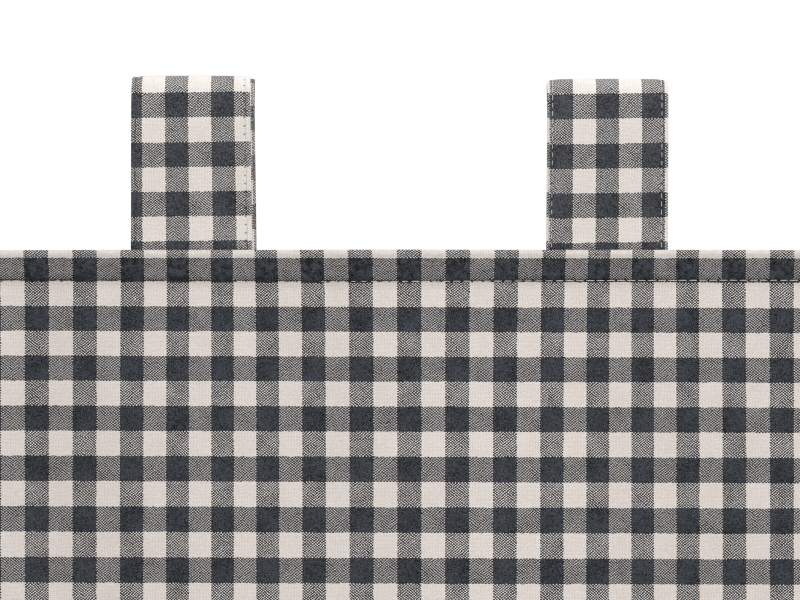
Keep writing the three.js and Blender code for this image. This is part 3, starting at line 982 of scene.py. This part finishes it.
def tab_stitches(tab, index, tree):
    """Edge stitching down both legs of a tab, and the row that sews its tail to the hem."""
    offset = TAB_THICK - LAYER_INSET
    depth, height, out, up = loop_path(offset, tab["rise"])
    first, last = math.ceil(up[0] / TAB_STITCH_PITCH), math.floor(up[-1] / TAB_STITCH_PITCH)
    at_up = (np.arange(first, last) + 0.5) * TAB_STITCH_PITCH
    out_depth, out_height = np.interp(at_up, up, out[:, 0]), np.interp(at_up, up, out[:, 1])
    level = np.zeros_like(at_up)
    sunk = TAB_THREAD_SUNK + tab["sunk"]
    points, alongs, outs = [], [], []
    for line in (tab["sew_left"] - TAB_HALF, TAB_HALF - tab["sew_right"]):
        across = line * back_width(at_up)
        at_height = np.interp(at_up, up, height) - sunk * out_height
        at_depth = np.interp(at_up, up, depth) - sunk * out_depth
        at_depth = at_depth + tab_sway(index, across, at_up, at_height)
        at_height = at_height - fold_sag(tab, across, at_height)
        points.append(tab_place(tab, index, across, at_depth, at_height))
        alongs.append(np.stack([level, out_height, -out_depth], -1))
        outs.append(np.stack([level, out_depth, out_height], -1))
    across = np.arange(TAIL_ROW_START - TAB_HALF, TAB_HALF - TAIL_ROW_END, TAB_STITCH_PITCH)
    at_depth = np.full_like(across, offset - TAIL_THREAD_SUNK)
    points.append(tab_place(tab, index, across, at_depth, np.full_like(across, -TOP_STITCH)))
    alongs.append(np.tile([1.0, 0.0, 0.0], (len(across), 1)))
    outs.append(np.tile([0.0, 1.0, 0.0], (len(across), 1)))
    length = TAB_STITCH_PITCH - STITCH_GAP
    lines = map(np.concatenate, (points, alongs, outs))
    return lay_stitches(f"{tab['name']}_stitches", tree, FIRST_TAB_SEED + index, length, *lines)


# The two cloths: the panel's, and the tabs', which is a shade paler.
CLOTHS = {
    "name": ("panel_gingham", "tab_gingham"),
    "tile": (PANEL_TILE, TAB_TILE),
    # Each dye where the yarn is thin and where it is full.
    "charcoal_thin": ("08090c", "141518"),
    "charcoal_full": ("42464e", "505359"),
    "white_thin": ("c7bfb9", "cfc8c2"),
    "white_full": ("d5cec9", "ddd7d2"),
    # The size of a float's visible part, and how far a pale float among dark yarns is dimmed by painted
    # shade.
    "warp_oval": (0.92, 0.80),
    "weft_oval": (0.79, 0.88),
    "warp_float_painted_shade": (0.68, 0.82),
    "weft_float_painted_shade": (0.95, 0.77),
    # The stitches' length along the cloth, and a needle hole's size and painted shade.
    "pitch": (HEM_STITCH_PITCH, TAB_STITCH_PITCH),
    "hole": (0.5, 0.45),
    "hole_shade": (0.3, 0.3),
    # The groove beside a line of stitches, partly painted shade: its place, its half-width, how far it hides
    # the floats, how much yarns bridge it, and its painted shade.
    "groove_past": (0.1, 0.55),
    "groove_half": (0.55, 0.38),
    "groove_closed": (0.65, 0.2),
    "groove_bridged": (0.5, 1.1),
    "groove_shade": (0.9, 0.6),
    # How far past the stitches an edge begins to show paler flecks, partly wear and partly painted sheen. The
    # panel's doesn't.
    "rubbed_sheen_from": (2 * SEAM_REACH, 1.5),
    # The painted shade of a hem against the single cloth, how uneven its tone is, and the painted shade
    # beside its stitches.
    "hem_painted_shade": (0.92, 1.0),
    "hem_mottle": (0.48, 0.0),
    "seam_painted_shade": (0.8, 1.0),
}
panel_cotton, tab_cotton = (
    gingham_cotton({measure: pair[which] for measure, pair in CLOTHS.items()}) for which in (0, 1))
thread = sewing_thread()
stitch_nodes = stitch_tree(thread)

panel = make_panel(panel_cotton)
hem_stitches = panel_stitches(stitch_nodes)
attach(panel, "root")
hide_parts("panel")
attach(hem_stitches, "root")

for index, tab in enumerate(TABS):
    cloth = make_tab(tab, index, tab_cotton)
    edging = tab_stitches(tab, index, stitch_nodes)
    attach(cloth, "root")
    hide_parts(tab["name"])
    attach(edging, "root")

# Camera: level and square to the curtain, centred between the two middle tabs.
camera_data = bpy.data.cameras.new("camera")
camera_data.sensor_width = 36.0
camera_data.lens = camera_data.sensor_width * CAMERA_AWAY / VIEW_WIDTH
camera_data.clip_end = 100.0
camera = add_object("camera", camera_data)
camera.location = (0.0, (HEM_FRONT_Y - CAMERA_AWAY) * MM, CAMERA_HEIGHT * MM)
camera.rotation_euler = (math.radians(90), 0.0, 0.0)
bpy.context.scene.camera = camera

# Light: a white studio, with one broad soft lamp in front and high above, and a weaker one behind.
world = bpy.data.worlds.new("white_studio")
world.use_nodes = True
world.node_tree.nodes["Background"].inputs["Color"].default_value = (1.0, 1.0, 1.0, 1.0)
world.node_tree.nodes["Background"].inputs["Strength"].default_value = 1.0
bpy.context.scene.world = world
LAMP_AIM = Vector((0.0, 0.0, -0.1))
LAMPS = (
    {"name": "soft_lamp", "place": (0.35, -1.3, 1.7), "size": 1.2, "watts": 27.0},
    {"name": "back_fill", "place": (1.5, 1.3, 0.7), "size": 0.9, "watts": 16.0},
)
for lamp in LAMPS:
    lamp_data = bpy.data.lights.new(lamp["name"], "AREA")
    lamp_data.shape = "DISK"
    lamp_data.size = lamp["size"]
    lamp_data.energy = lamp["watts"]
    lamp_object = add_object(lamp["name"], lamp_data)
    lamp_object.location = lamp["place"]
    lamp_object.rotation_euler = (LAMP_AIM - Vector(lamp["place"])).to_track_quat("-Z", "Y").to_euler()
bpy.context.scene.view_settings.view_transform = "Standard"
# The weave's dots are one pixel wide: a narrow pixel filter keeps them, and denoising would smear them.
bpy.context.scene.cycles.use_denoising = False
bpy.context.scene.cycles.filter_width = 1.15

# A round floor, so that its far edge looks level from every side.
FLOOR_RADIUS = 4.5
FLOOR_HEIGHT = -0.70
FLOOR_CORNERS = 96
turns = [2 * math.pi * corner / FLOOR_CORNERS for corner in range(FLOOR_CORNERS)]
rim = [(FLOOR_RADIUS * math.cos(turn), FLOOR_RADIUS * math.sin(turn), FLOOR_HEIGHT) for turn in turns]
floor_mesh = bpy.data.meshes.new("floor")
floor_mesh.from_pydata(rim, [], [range(FLOOR_CORNERS)])
floor_paint, *_ = new_material("pale_floor", {"Base Color": linear("d2d1ce"), "Roughness": 0.8})
floor_mesh.materials.append(floor_paint)
floor = add_object("floor", floor_mesh)
